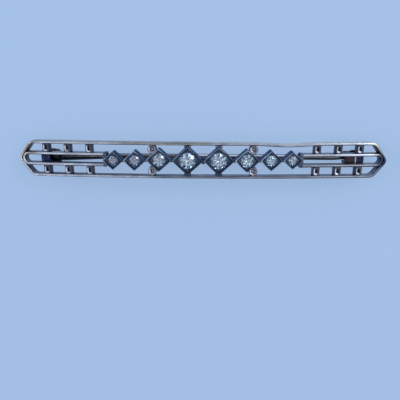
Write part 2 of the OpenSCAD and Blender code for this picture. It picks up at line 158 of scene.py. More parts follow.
def make_piece(name, grid, rub_and_painted_light, wrap=(True, True), crease=38, wall=0.0):
    """Mesh of points in millimetres on a grid [copy, i, j]. Each cell is one face,
    wrapped round where wrap says so, and the points of a pole are merged. The first
    attribute says how bright a point is, by rubbing and by painted light and shade,
    and the second, wall, how far it is tinted."""
    grid = np.asarray(grid, float)
    grid = grid[None] if grid.ndim == 3 else grid
    copies, rows, columns = grid.shape[:3]
    here = np.arange(copies * rows * columns).reshape(copies, rows, columns)
    down, right = np.roll(here, -1, 1), np.roll(here, -1, 2)
    faces = np.stack([here, down, np.roll(down, -1, 2), right], -1)
    faces = faces if wrap[0] else faces[:, :-1]
    faces = faces if wrap[1] else faces[:, :, :-1]
    mesh = bpy.data.meshes.new(name)
    mesh.from_pydata((grid.reshape(-1, 3) * MM).tolist(), [], faces.reshape(-1, 4).tolist())
    for label, value in (("rub_and_painted_light", rub_and_painted_light), ("wall", wall)):
        spread = np.broadcast_to(value, grid.shape[:3]).astype(np.float32)
        layer = mesh.attributes.new(label, "FLOAT", "POINT")
        layer.data.foreach_set("value", spread.ravel())
    shell = bmesh.new()
    shell.from_mesh(mesh)
    bmesh.ops.remove_doubles(shell, verts=shell.verts, dist=1e-8)
    shell.to_mesh(mesh)
    shell.free()
    mesh.polygons.foreach_set("use_smooth", np.ones(len(mesh.polygons), bool))
    mesh.set_sharp_from_angle(angle=radians(crease))
    piece = bpy.data.objects.new(name, mesh)
    bpy.context.scene.collection.objects.link(piece)
    return piece


def fit(piece, finish, body="brooch", stands_for="frame"):
    """Gives a piece its finish and its body, and hides the solid that it stands for."""
    piece.data.materials.clear()
    piece.data.materials.append(finish)
    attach(piece, body)
    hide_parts(stands_for)


class Finish:
    """A procedural material: a short way to add nodes and link them."""

    def __init__(self, name):
        self.material = bpy.data.materials.new(name)
        self.material.use_nodes = True
        self.tree = self.material.node_tree
        self.shader = self.tree.nodes["Principled BSDF"]
        self.place = self.add("ShaderNodeTexCoord").outputs["Object"]
        self.rub_and_painted_light = self.attribute("rub_and_painted_light")

    def add(self, kind, **settings):
        """A new node of a kind, with its settings."""
        node = self.tree.nodes.new(kind)
        for key, value in settings.items():
            setattr(node, key, value)
        return node

    def feed(self, node, **inputs):
        """Sets a node's inputs by name, each to a value or to another node's output."""
        for key, value in inputs.items():
            socket = node.inputs[key.replace("_", " ")]
            if isinstance(value, bpy.types.NodeSocket):
                self.tree.links.new(value, socket)
            else:
                socket.default_value = value
        return node

    def attribute(self, name):
        """The number that a piece's mesh holds at each point under a name."""
        return self.add("ShaderNodeAttribute", attribute_name=name).outputs["Fac"]

    def axes(self):
        """The X, Y and Z of a place or direction."""
        parts = self.add("ShaderNodeSeparateXYZ")
        self.tree.links.new(self.place, parts.inputs[0])
        return parts.outputs

    def noise(self, scale, detail=3.0, stretch=(1, 1, 1)):
        """Noise with about scale features a metre, drawn out along an axis."""
        spread = self.add("ShaderNodeMapping")
        self.feed(spread, Vector=self.place, Scale=stretch)
        grain = self.add("ShaderNodeTexNoise")
        self.feed(grain, Vector=spread.outputs[0], Scale=scale, Detail=detail)
        return grain.outputs["Fac"]

    def ramp(self, value, low, high, out_low=0.0, out_high=1.0):
        """Smooth step of a value from low to high, onto out_low to out_high."""
        step = self.add("ShaderNodeMapRange", interpolation_type="SMOOTHSTEP")
        step.inputs["From Min"].default_value = low
        step.inputs["From Max"].default_value = high
        step.inputs["To Min"].default_value = out_low
        step.inputs["To Max"].default_value = out_high
        self.tree.links.new(value, step.inputs["Value"])
        return step.outputs["Result"]

    def spokes(self, vector, count):
        """Sine of count times the angle that a place or direction has about Z."""
        turn = self.add("ShaderNodeTexGradient", gradient_type="RADIAL")
        spread = self.add("ShaderNodeMath", operation="MULTIPLY")
        spread.inputs[1].default_value = 2 * np.pi * count
        wave = self.add("ShaderNodeMath", operation="SINE")
        self.tree.links.new(vector, turn.inputs[0])
        self.tree.links.new(turn.outputs["Fac"], spread.inputs[0])
        self.tree.links.new(spread.outputs[0], wave.inputs[0])
        return wave.outputs[0]

    def near(self, centre, reach):
        """1 within reach millimetres of a place, falling to 0 at twice that."""
        gap = self.add("ShaderNodeVectorMath", operation="DISTANCE")
        self.tree.links.new(self.place, gap.inputs[0])
        gap.inputs[1].default_value = [v * MM for v in centre]
        return self.ramp(gap.outputs["Value"], 2 * reach * MM, 0.6 * reach * MM)

    def band(self, value, centre, outer, inner):
        """1 where a value lies within inner of a centre, falling to 0 at outer."""
        gap = self.add("ShaderNodeMath", operation="SUBTRACT")
        gap.inputs[1].default_value = centre
        self.tree.links.new(value, gap.inputs[0])
        return self.ramp(self.math("ABSOLUTE", gap.outputs[0], 0), outer, inner)

    def math(self, operation, a, b):
        """Result of an operation on two values, kept between 0 and 1."""
        result = self.add("ShaderNodeMath", operation=operation, use_clamp=True)
        for socket, value in zip(result.inputs, (a, b)):
            if isinstance(value, bpy.types.NodeSocket):
                self.tree.links.new(value, socket)
            else:
                socket.default_value = value
        return result.outputs[0]

    def blend(self, share, below, above):
        """Colour below, covered by colour above as far as share says."""
        mix = self.add("ShaderNodeMix", data_type="RGBA")
        for socket, value in ((mix.inputs["Factor"], share), (mix.inputs[6], below),
                              (mix.inputs[7], above)):
            if isinstance(value, bpy.types.NodeSocket):
                self.tree.links.new(value, socket)
            else:
                socket.default_value = value if isinstance(value, float) else (*value, 1)
        return mix.outputs[2]

    def bump(self, height, depth):
        """Relief of the given depth in millimetres."""
        relief = self.add("ShaderNodeBump")
        self.feed(relief, Height=height, Distance=depth * MM)
        self.tree.links.new(relief.outputs[0], self.shader.inputs["Normal"])


BRIGHT_SILVER = (0.79, 0.83, 0.93)
DULL_SILVER = (0.60, 0.57, 0.53)
DARK_SKIN = (0.018, 0.022, 0.048)
PALE_SKIN = (0.10, 0.11, 0.15)
LEFT_WALL = (0.50, 0.41, 0.31)
LIT_RIGHT_WALL = (0.86, 0.77, 0.62)
PAINTED_GLINT_AT, PAINTED_GLINT = (30.3, 2.7, 3.9), (0.98, 0.94, 0.78)
BROWN_AT, BROWN_RUBBED, BROWN = (-31.4, 2.2, 3.7), (0.38, 0.29, 0.25), (0.15, 0.12, 0.07)
NOSE_AT, BLUE_BLACK = (33.1, 0.2, 3.6), (0.05, 0.065, 0.12)
OLIVE_AT, OLIVE = (31.4, 1.9, 2.8), (0.13, 0.12, 0.05)


def old_silver():
    """Silver rubbed bright in front over a blue-black skin, with painted light and shade
    as the mesh's attribute says, fine scratches along the bar, a duller stretch on the
    upper rail and a warm tint on that rail's wall, lightened on the right as a painted
    reflection. Brown tarnish lies at the top left corner, olive tarnish and a blue-black
    darkening round the right nose, and the top right corner has a painted cream glint."""
    f = Finish("old_silver")
    axis = f.axes()
    cloud = f.noise(420.0)
    fine = f.noise(2600.0, 4.0, (0.25, 1, 1))
    bright = f.math("MULTIPLY", f.rub_and_painted_light, f.ramp(cloud, 0.25, 0.65, 0.62, 1.0))
    middle = f.ramp(axis["X"], -19 * MM, -12 * MM)
    middle = f.math("MULTIPLY", middle, f.ramp(axis["X"], 4 * MM, -2 * MM))
    middle = f.math("MULTIPLY", middle, f.ramp(axis["Y"], 2.6 * MM, 2.8 * MM))
    silver = f.blend(middle, BRIGHT_SILVER, DULL_SILVER)
    skin = f.blend(cloud, DARK_SKIN, PALE_SKIN)
    colour = f.blend(bright, skin, silver)
    # Warm tarnish on the left of the upper rail's wall; its lighter right is a painted
    # reflection.
    tint = f.blend(f.ramp(axis["X"], -2 * MM, 4 * MM), LEFT_WALL, LIT_RIGHT_WALL)
    wall = f.math("MULTIPLY", f.attribute("wall"), f.ramp(cloud, 0.25, 0.6, 0.7, 1.0))
    colour = f.blend(wall, colour, tint)
    # Painted highlight: a cream glint at the top right corner.
    colour = f.blend(f.math("MULTIPLY", f.near(PAINTED_GLINT_AT, 0.7), bright), colour, PAINTED_GLINT)
    brown = f.math("MULTIPLY", f.near(BROWN_AT, 1.5), f.ramp(cloud, 0.3, 0.6, 0.5, 0.9))
    colour = f.blend(f.math("MULTIPLY", brown, bright), colour, BROWN_RUBBED)
    colour = f.blend(f.math("MULTIPLY", brown, 0.6), colour, BROWN)
    colour = f.blend(f.near(NOSE_AT, 1.5), colour, BLUE_BLACK)
    olive = f.math("MULTIPLY", f.near(OLIVE_AT, 0.9), f.ramp(cloud, 0.3, 0.6, 0.4, 0.9))
    colour = f.blend(olive, colour, OLIVE)
    polish, scratches = f.ramp(bright, 0, 1, 0.34, 0.16), f.ramp(fine, 0.3, 0.7, 0.0, 0.1)
    f.feed(f.shader, Metallic=1.0, Base_Color=colour,
           Roughness=f.math("ADD", polish, scratches))
    f.bump(fine, 0.01)
    return f.material


OLD_SILVER = old_silver()
# The rail carries its rubbing and its painted light and shade in one attribute.
rail_grid, rail_rub_and_painted_light = strip_on_path(hexagon(0), hexagon(RAIL_T), 0, -RAIL_DEPTH)
rail_side = round_shape(full_turn(rail_grid.shape[1]), 4.0)[0]
rail_wall = smooth(0.6, 0.95, rail_side) * smooth(2.2, 2.6, rail_grid[..., 1])
fit(make_piece("rail", rail_grid, rail_rub_and_painted_light, wall=rail_wall), OLD_SILVER)


# Hairpin loops

# Two loops of the same silver strip, one from each nose: two straight arms and a
# round end that is soldered to the slants. Between their arms the pin's stem shows.

LOOP_T = 0.62
LOOP_SINK = 0.2
LOOP_PITCH = 1.9
LOOP_SET = 0.1
SOLDER = 0.05
BOX_H = 2.5
BOX_ASPECT = 1.1
BOX_GAP = 0.06
STRIP_T = 0.7
ROW_SIZE = np.array([0.655, 0.72, 0.825, 1.0, 0.99, 0.81, 0.73, 0.63])
ROW_SET = np.array([-0.04, -0.02, 0.03, -0.01, -0.02, 0.0, 0.02, 0.04])

box_h = BOX_H * ROW_SIZE
box_w = box_h * BOX_ASPECT
box_y = BOX_H * ROW_SET
run = np.concatenate([[0], np.cumsum(2 * box_w + BOX_GAP)])
box_x = run[:-1] + box_w + BOX_GAP / 2 - run[len(ROW_SIZE) // 2]
row_end = max(box_x[-1], -box_x[0]) + box_w[0]
strip_x = row_end - STRIP_T / 2
rail_in = HALF_W - RAIL_T
loop_out = (LOOP_PITCH + LOOP_T) / 2
loop_end_x = BAR_LENGTH / 2 - NOSE_R - (loop_out - LOOP_SINK - NOSE_R + RAIL_T) / sin(SLANT)


def hairpin(side, arm_points=24, end_points=33):
    """Edges of a hairpin: two arms at plus and minus half the pitch, joined by half a
    circle, then moved out and in by half the strip's thickness."""
    arm = np.linspace(strip_x, loop_end_x, arm_points)[:-1]
    turn = np.linspace(-np.pi / 2, np.pi / 2, end_points)
    x = np.concatenate([arm, loop_end_x + np.cos(turn) * LOOP_PITCH / 2, arm[::-1]])
    y = np.concatenate([arm * 0 - LOOP_PITCH / 2, np.sin(turn) * LOOP_PITCH / 2,
                        arm * 0 + LOOP_PITCH / 2])
    nx = np.concatenate([arm * 0, np.cos(turn), arm * 0])
    ny = np.concatenate([arm * 0 - 1, np.sin(turn), arm * 0 + 1])
    middle, normal = np.stack([x, y], 1), np.stack([nx, ny], 1)
    outer, inner = middle + normal * LOOP_T / 2, middle - normal * LOOP_T / 2
    if side < 0:
        outer, inner = outer[::-1] * (-1, 1), inner[::-1] * (-1, 1)
    return outer, inner


def close_ends(grid, value):
    """Closes a strip with two flat ends, each drawn to its middle."""
    first, last = grid[:1].mean(1, keepdims=True), grid[-1:].mean(1, keepdims=True)
    grid = np.concatenate([first + 0 * grid[:1], grid, last + 0 * grid[:1]])
    return grid, np.concatenate([value[:1], value, value[-1:]])


for name, side in (("loop_left", -1), ("loop_right", 1)):
    outer, inner = hairpin(side)
    strip = strip_on_path(outer, inner, -LOOP_SET, SOLDER - RAIL_DEPTH, power=3.2,
                          outside=0.4, shaded=0.0)
    fit(make_piece(name, *close_ends(*strip), (False, True)), OLD_SILVER)


# Row ends

# A short dark strip across the arms of each loop, where the row of stones begins. It
# is soldered to the arms and has a few small grains raised along its front.

STUD_R = 0.11
STUD_X = np.array([-17.3, -17.2, -17.3, 17.2, 17.35, 17.2, 17.0])
STUD_Y = np.array([0.95, 0.1, -0.9, 0.98, 0.45, -0.1, 0.75])


def block(x, y, half_x, half_y, front, back, soft=0.07, power=7.0, points=40):
    """Block that follows the camber: rings of a rounded oblong, drawn in by a soft
    edge at back and front and to a point in the middle of both faces. Its front
    edge is rubbed bright and its front face by half."""
    inset = np.array([9, 1, 0.3, 0, 0, 0.3, 1, 9]) * soft
    height = np.array([0, 0, 0.3, 1, 1, 0.3, 0, 0]) * soft
    height = np.where(np.arange(8) < 4, back + height, front - height)
    keep = np.where(inset > 8 * soft, 0.0, 1.0)
    ring_x, ring_y = round_shape(full_turn(points)[:, None], power)
    gx = x + ring_x * (half_x - inset) * keep
    gy = y + ring_y * (half_y - inset) * keep
    rub_and_painted_light = np.broadcast_to([0, 0, 0, 0.1, 0.25, 0.9, 0.5, 0.45], gx.shape)
    level = front_height(gx)
    return upright(np.stack([gx, gy, level + height], -1), level), rub_and_painted_light


def grains(x, y, z, radius, flat=0.8, around=12, up=7):
    """Small domes: a sphere's rings about each place, pressed a little flat."""
    turn = full_turn(around)[:, None]
    rise = np.linspace(-np.pi / 2, np.pi / 2, up)
    unit = np.stack([np.cos(turn) * np.cos(rise), np.sin(turn) * np.cos(rise),
                     flat * np.sin(rise) + 0 * turn], -1)
    radius = np.broadcast_to(radius, np.shape(x))[:, None, None, None]
    return np.stack([x, y, z], -1)[:, None, None] + radius * unit, np.clip(np.sin(rise), 0, 1)


NAVY_SKIN = (0.004, 0.012, 0.036)
SLATE_SKIN = (0.020, 0.046, 0.105)
RUBBED_RIM = (0.58, 0.71, 0.92)
FLAT_ANGLE_TINT = (0.78, 0.87, 1.0, 1.0)


def blackened_silver():
    """Blue-black oxidised silver, grey-bright where it has been rubbed: rims, grains
    and raised edges. Its plates are scratched and pitted, and what its walls mirror
    at a flat angle is tinted blue."""
    f = Finish("blackened_silver")
    cloud = f.noise(900.0, 4.0)
    pits = f.noise(5200.0, 3.0)
    bright = f.math("MULTIPLY", f.rub_and_painted_light, f.ramp(cloud, 0.25, 0.7, 0.5, 1.0))
    colour = f.blend(bright, f.blend(cloud, NAVY_SKIN, SLATE_SKIN), RUBBED_RIM)
    polish, pitting = f.ramp(bright, 0, 1, 0.38, 0.2), f.ramp(pits, 0.35, 0.7, 0.0, 0.12)
    f.feed(f.shader, Metallic=1.0, Base_Color=colour, Specular_Tint=FLAT_ANGLE_TINT,
           Roughness=f.math("ADD", polish, pitting))
    f.bump(pits, 0.03)
    return f.material


BLACKENED = blackened_silver()
for name, side in (("row_end_left", -1), ("row_end_right", 1)):
    grid, rub_and_painted_light = block(side * strip_x, 0, STRIP_T / 2, loop_out, -LOOP_SET, -RAIL_DEPTH)
    fit(make_piece(name, grid, rub_and_painted_light * 0.5, (True, False)), BLACKENED)
stud_grid, stud_rub = grains(STUD_X, STUD_Y, front_height(STUD_X) - LOOP_SET, STUD_R)
fit(make_piece("row_end_studs", stud_grid, stud_rub, (True, False)), BLACKENED)


# Spacers

# Twelve small silver blocks that hold the loops off the rail, three above and three
# below at each end. Each is scooped out in front with a round graver into a dark
# hollow, with a painted highlight curling round two sides of it, and its feet spread
# where the solder ran.

SPACER_W = 1.16
SPACER_END = 4.9
SPACER_PITCH = 3.9
SPACER_DEPTH = 1.3
SPACER_SET = 0.3
SPACER_LIP = 0.16
SCOOP_DEEP = 0.6


def scooped(x, y, half_x, half_y, lip, power, flare=0.0, edge=0.06, lit_curl=1.0, core=0.2,
            soft=0.05, points=48):
    """Scooped block: rounded oblong rings up the outside, which widen along x by
    flare times the fourth power of the way to the feet, over a soft lip, then ovals
    over a band and down a smooth step into a hollow. The band carries a painted
    highlight that curls towards -x and -y, the lip is rubbed to edge and the hollow's
    floor to core."""
    turn = full_turn(points)[:, None]
    front, back = -SPACER_SET, -SPACER_SET - SPACER_DEPTH
    inset = np.array([9, soft, 0, 0, 0.3 * soft, soft, lip - soft])
    level = np.array([back, back, back + soft, front - soft, front - 0.3 * soft, front, front])
    way = np.linspace(1, 0, 9)
    ring_x, ring_y = round_shape(turn, power)
    grow = 1 + flare * np.abs(ring_y) ** 4 * (inset < 0.5 * lip)
    keep = np.where(inset > 8, 0.0, 1.0)
    outer_x = ring_x * grow * (half_x - inset) * keep
    outer_y = ring_y * (half_y - inset) * keep
    oval_x, oval_y = round_shape(turn, 2.3)
    hollow_x, hollow_y = oval_x * (half_x - lip) * way, oval_y * (half_y - lip) * way
    gx = x + np.concatenate([outer_x, hollow_x], 1)
    gy = y + np.concatenate([outer_y, hollow_y], 1)
    floor_level = front - soft * (1 - way) - SCOOP_DEEP * smooth(0.68, 0.3, way)
    level = np.concatenate([level, floor_level])
    # Painted highlight on the band's side towards -x and -y.
    lit = smooth(-0.1, 0.5, -0.85 * np.cos(turn) - 0.55 * np.sin(turn))
    band = smooth(0.50, 0.62, way)
    outside = np.broadcast_to([0, 0, 0, 0.04, 0.5 * edge, edge, edge], outer_x.shape)
    inside = core + band * (np.maximum(edge, lit_curl * lit) - core)
    rub_and_painted_light = np.concatenate([outside, inside], 1)
    front_z = front_height(gx)
    return upright(np.stack([gx, gy, front_z + level], -1), front_z), rub_and_painted_light


spacer_low, spacer_high = loop_out - SOLDER, rail_in + SOLDER
spacer_xs = BAR_LENGTH / 2 - SPACER_END - SPACER_PITCH * np.arange(3)
spacer_grids = [
    scooped(sx * x, sy * (spacer_low + spacer_high) / 2, SPACER_W / 2,
            (spacer_high - spacer_low) / 2, SPACER_LIP, power=6.0, flare=0.18)
    for x in spacer_xs for sx in (-1, 1) for sy in (-1, 1)]
spacer_grid, spacer_rub_and_highlight = map(np.stack, zip(*spacer_grids))
fit(make_piece("spacers", spacer_grid, spacer_rub_and_highlight, (True, False)), OLD_SILVER)


# Cups

# Four small round silver cups between the rail and the third and sixth boxes. Each is
# soldered to the rail and to the box's side, and has a shallow hollow in front.

CUP_R = 0.78
CUP_LIP = 0.18
CUP_BOXES = ((2, -1), (5, 1))

cup_y = rail_in - CUP_R + SOLDER
cup_grids = []
for i, side in CUP_BOXES:
    room = box_w[i] * box_h[i] / np.hypot(box_w[i], box_h[i])
    cup_x = box_x[i] + side * box_w[i] * ((CUP_R - SOLDER) / room + 1 - cup_y / box_h[i])
    for sy in (-1, 1):
        # The cups carry the same painted highlight, curling towards -x and -y round the hollow.
        cup_grids.append(scooped(cup_x, sy * cup_y, CUP_R, CUP_R, CUP_LIP, power=2.0,
                                 edge=0.3, lit_curl=0.8, core=0.75))
cup_grid, cup_rub_and_highlight = map(np.stack, zip(*cup_grids))
fit(make_piece("cups", cup_grid, cup_rub_and_highlight, (True, False)), OLD_SILVER)


# Box settings

# Eight square boxes set on point, graduated from the middle. Each is a strip of silver
# folded round a plate, open behind, with a sharp raised rim, a line engraved inside
# it, and a bored and coned seat for the stone with its edge pressed up.

BOX_DEPTH = 2.1
BOX_PROUD = 0.2
RIM_T = 0.17
RIM_HIGH = 0.22
PLATE_T = 0.5
GIRDLE_T = 0.06
STONE_GAP = 0.04
PAVILION = radians(41)
ROW_FILL = np.array([0.82, 0.84, 0.85, 0.86, 0.88, 0.87, 0.80, 0.84])
RIM_WEAR = np.array([0.5, 0.7, 0.75, 0.5, 0.6, 0.85, 0.9, 0.8])

box_room = box_w * box_h / np.hypot(box_w, box_h)
stone_r = (box_room - RIM_T) * ROW_FILL
seat_r = stone_r + STONE_GAP


def at_box(i, points):
    """Carries points given from the middle of a box's rim to its place: turned about
    Y by the arcsine of its place over the arc's radius, then out to the arc."""
    tilt = np.arcsin(box_x[i] / ARC_R)
    x, y, z = points[..., 0], points[..., 1], points[..., 2] + ARC_R + BOX_PROUD
    return np.stack([np.cos(tilt) * x + np.sin(tilt) * z, y + box_y[i],
                     ARC_Z - np.sin(tilt) * x + np.cos(tilt) * z], -1)


def box_setting(i, points=96):
    """Box: squares on point, each the outline drawn in by an inset, up the wall, over
    the rim and down to the plate; then rings that pass from that square to the
    stone's circle; then circles down the seat, and squares back down the inside.
    Each row of squares is an inset, a height and a rub, and each row of rings is a
    radius, a height and a rub. The walls and the rim are brighter towards the top left."""
    turn = full_turn(points)[:, None]
    square_x, square_y = round_shape(turn, 1.03)
    plate_z, cone = -RIM_HIGH - PLATE_T, (PLATE_T - GIRDLE_T - STONE_GAP) / tan(PAVILION)
    ledge_z = -RIM_HIGH - GIRDLE_T - STONE_GAP
    squares = np.array([
        [RIM_T, 0.03 - BOX_DEPTH, 0.05], [0.04, -BOX_DEPTH, 0.05], [0, 0.04 - BOX_DEPTH, 0.05],
        [0, -1.2, 0.05], [0, -0.06, 0.10], [0.008, -0.012, 0.7], [0.025, 0, 1.0],
        [0.135, 0, 1.0], [0.15, -0.015, 0.6], [0.165, 0.03 - RIM_HIGH, 0.05],
        [0.19, -RIM_HIGH, 0.1], [0.225, -RIM_HIGH, 0.25], [0.25, -0.045 - RIM_HIGH, 0.0],
        [0.275, -RIM_HIGH, 0.3]])
    shrink = 1 - squares[:, 0] / box_room[i]
    sq = np.stack([square_x * box_w[i] * shrink, square_y * box_h[i] * shrink], -1)
    edge_r = seat_r[i] + 0.07
    circle = np.concatenate([np.cos(turn), np.sin(turn)], 1)[:, None]
    way = np.array([0.25, 0.5, 0.75, 1.0])[None, :, None]
    plate = sq[:, -1:] * (1 - way) + circle * edge_r * way
    rings = np.array([
        [seat_r[i] + 0.05, 0.035 - RIM_HIGH, 0.3], [seat_r[i] + 0.02, 0.05 - RIM_HIGH, 0.45],
        [seat_r[i], 0.04 - RIM_HIGH, 0.3], [seat_r[i], ledge_z, 0.1],
        [seat_r[i] - cone, plate_z, 0.1]])
    under = np.stack([square_x * box_w[i], square_y * box_h[i]], -1) * (1 - RIM_T / box_room[i])
    flat = np.concatenate([sq, plate, circle * rings[:, :1], under], 1)
    level = np.concatenate([squares[:, 1], np.full(4, -RIM_HIGH), rings[:, 1], [plate_z]])
    rub_and_painted_light = np.concatenate([squares[:, 2], [0.1, 0.06, 0.08, 0.15], rings[:, 2], [0.05]])
    brighter_side = RIM_WEAR[i] * (0.3 + 0.7 * smooth(-0.2, 0.7, np.sin(turn) - np.cos(turn)))
    rub_and_painted_light = rub_and_painted_light * np.where(np.arange(len(rub_and_painted_light)) < len(squares), brighter_side, 1.0)
    grid = np.concatenate([flat, np.broadcast_to(level[:, None], flat.shape[:2] + (1,))], -1)
    return at_box(i, grid), rub_and_painted_light


for i in range(len(ROW_SIZE)):
    grid, rub_and_painted_light = box_setting(i)
    fit(make_piece(f"box_{i + 1}", grid, rub_and_painted_light, crease=30), BLACKENED)


# Grains

# Beads of metal raised from each plate with a graver and rounded: one in each corner,
# pushed against the stone, and two smaller ones beside it.

GRAIN_R = 0.16
GRAIN_OUT = 0.144
BEAD_R = 0.075
BEAD_OUT = 0.16
BEAD_SWING = 0.3
CORNER_GRAINS = ((GRAIN_R, 0, GRAIN_OUT), (BEAD_R, BEAD_SWING, BEAD_OUT),
                 (BEAD_R, -BEAD_SWING, BEAD_OUT))

grain_at, grain_size = [], []
for i in range(len(ROW_SIZE)):
    for corner in np.arange(4) * np.pi / 2:
        for radius, swing, out in CORNER_GRAINS:
            r, turn = seat_r[i] + out, corner + swing
            grain_at.append(at_box(i, np.array([r * cos(turn), r * sin(turn), -RIM_HIGH])))
            grain_size.append(radius)
grain_grid, grain_rub = grains(*np.array(grain_at).T, np.array(grain_size), flat=0.95)
fit(make_piece("setting_grains", grain_grid, grain_rub * 0.4, (True, False)),
    BLACKENED)


# Necks and tabs

# Short dark bars soldered behind the corners where two boxes meet, and wider ones
# above and below the two largest boxes, which hang the row from the rails. The
# tabs carry two grains each.

NECK_LEN = 0.56
NECK_H = 0.5
NECK_MID_H = 1.0
NECK_FRONT = 0.1
NECK_BACK = -1.05
TAB_W = 1.2
TAB_SINK = 0.24
TAB_SET = 0.05
TAB_GRAIN_R = 0.14
TAB_GRAIN_Y = 2.5
LARGEST = (3, 4)

neck_grids = []
for i in range(len(ROW_SIZE) - 1):
    half = (NECK_MID_H if i == LARGEST[0] else NECK_H) / 2
    neck_grids.append(block(box_x[i] + box_w[i] + BOX_GAP / 2, (box_y[i] + box_y[i + 1]) / 2,
                            NECK_LEN / 2, half, NECK_FRONT, NECK_BACK, soft=0.05))
neck_grid, neck_rub = map(np.stack, zip(*neck_grids))
fit(make_piece("necks", neck_grid, neck_rub * 0.1, (True, False)), BLACKENED)

tab_low, tab_high = BOX_H - TAB_SINK, rail_in + SOLDER
tab_grids = [
    block(box_x[i], sy * (tab_low + tab_high) / 2, TAB_W / 2, (tab_high - tab_low) / 2,
          -TAB_SET, -SPACER_DEPTH, soft=0.05)
    for i in LARGEST for sy in (-1, 1)]
tab_grid, tab_rub = map(np.stack, zip(*tab_grids))
fit(make_piece("tabs", tab_grid, tab_rub * 0.25, (True, False)), BLACKENED)
bead_x = np.repeat(box_x[list(LARGEST)], 2) + np.array([-0.4, 0.4, -0.35, 0.35])
bead_z = front_height(bead_x) - 2 * TAB_SET
bead_grid, bead_rub = grains(bead_x, bead_x * 0 + TAB_GRAIN_Y, bead_z, TAB_GRAIN_R)
fit(make_piece("tab_grains", bead_grid, bead_rub, (True, False)), BLACKENED)


# Stones

# Round brilliants of clear colourless stone, cut with a table, eight kites, stars
# and halves. They are dropped into their seats from the front.

STONE_IOR = 2.42
STONE_SPOKES = 8
PAINTED_SPOKES = np.array([[0.66, 0.90, 1.0], [0.10, 0.20, 0.38]])
DIMMED_SPOKES = np.array([[0.24, 0.36, 0.56], [0.06, 0.10, 0.20]])
STONE_DIMMING = np.array([1.0, 1.0, 0.35, 0.0, 0.0, 0.0, 0.1, 0.5])


def clear_stone(i):
    """Clear stone, its colour a painted cool blue reflection with painted light and shade
    by turns in the spokes that a brilliant's cut draws about its middle, dimmed and
    greyed as far as its share says. Two tables, clear and dimmed, each give the painted
    light and the painted shade of the spokes."""
    f = Finish(f"clear_stone_{i + 1}")
    middle = f.add("ShaderNodeMapping")
    f.feed(middle, Vector=f.place, Location=(-MM * at_box(i, np.zeros(3))).tolist())
    wave = f.spokes(middle.outputs[0], STONE_SPOKES)
    # Painted light and shade in turns along the spokes.
    shade = f.ramp(f.math("ADD", wave, f.noise(2500.0, 1.0)), 0.55, 0.9)
    light, dark = PAINTED_SPOKES * (1 - STONE_DIMMING[i]) + DIMMED_SPOKES * STONE_DIMMING[i]
    f.feed(f.shader, Base_Color=f.blend(shade, tuple(light), tuple(dark)),
           Roughness=f.ramp(f.noise(3000.0), 0.3, 0.8, 0.0, 0.02), IOR=STONE_IOR,
           Transmission_Weight=1.0)
    return f.material


for i in range(len(ROW_SIZE)):
    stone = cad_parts[f"stone_{i + 1}"]
    stone.data.materials.clear()
    stone.data.materials.append(clear_stone(i))


# Hinge

# A block soldered under the arms of the left loop, filed to two round ears. A rivet
# with two low heads goes through them and carries the pin.

PIN_Z = 1.0
PIN_R = 0.5
HINGE_X = -28.7
RIVET_Z = 0.8
RIVET_R = 0.28
EAR_R = 0.8
EAR_IN = 0.70
EAR_T = 0.48
HEAD_T = 0.15
HEAD_OVER = 0.17
BASE_RISE = 0.45
HINGE_BACK = -2.2


def tongue(x, radius, low, high, front_z, soft=0.05, points=48):
    """Ear across Y from low to high: a half circle below the rivet's axis and straight
    sides up to front_z, its rings drawn in by a soft edge at both faces."""
    turn = full_turn(points)[:, None]
    inset = np.array([9, soft, 0.3 * soft, 0, 0, 0.3 * soft, soft, 9])
    y = np.array([low, low, low + 0.3 * soft, low + soft,
                  high - soft, high - 0.3 * soft, high, high])
    keep = np.where(inset > 8, 0.0, 1.0)
    round_x, round_z = round_shape(turn, 2.0)
    tall_x, tall_z = round_shape(turn, 9.0)
    up = np.sin(turn) > 0
    r = (radius - inset) * keep
    gx = x + np.where(up, tall_x, round_x) * r
    gz = RIVET_Z + np.where(up, tall_z * (front_z - RIVET_Z - inset) * keep, round_z * r)
    grid = np.stack([gx, np.broadcast_to(y, gx.shape), gz], -1)[::-1]
    return grid, np.broadcast_to(np.where(inset > 8, 0.1, 0.25), gx.shape)


def turned(x, z, profile, axis, points=36):
    """Surface of revolution about an axis along x or y through (x, z): each profile
    point is a place along the axis and a radius."""
    along, radius = np.asarray(profile, float).T
    turn = full_turn(points)[:, None]
    first, second = radius * np.cos(turn), radius * np.sin(turn)
    if axis == "x":
        return np.stack([x + along + 0 * turn, first, z + second], -1)
    return np.stack([x + second, along + 0 * turn, z + first], -1)


DARK_STREAK, PALE_STREAK = (0.22, 0.22, 0.20), (0.46, 0.46, 0.42)
ROW_SHADE_LEFT, ROW_SHADE_RIGHT = (0.17, 0.16, 0.165), (0.05, 0.06, 0.085)
ROW_HIGHLIGHT_LEFT, ROW_HIGHLIGHT_RIGHT = (0.30, 0.285, 0.28), (0.92, 0.94, 0.98)
BLACK_TARNISH_AND_SHADE = (0.030, 0.036, 0.050)
SHOULDER_AT, SHOULDER_BROWN = (-27.5, 1.4, 1.2), (0.24, 0.19, 0.17)
SPOT_AT, SPOT_RED = (-26.5, 1.3, 1.2), (0.36, 0.13, 0.14)
THUMB_AT, THUMB_BROWN = (27.6, 1.35, 1.6), (0.13, 0.085, 0.105)


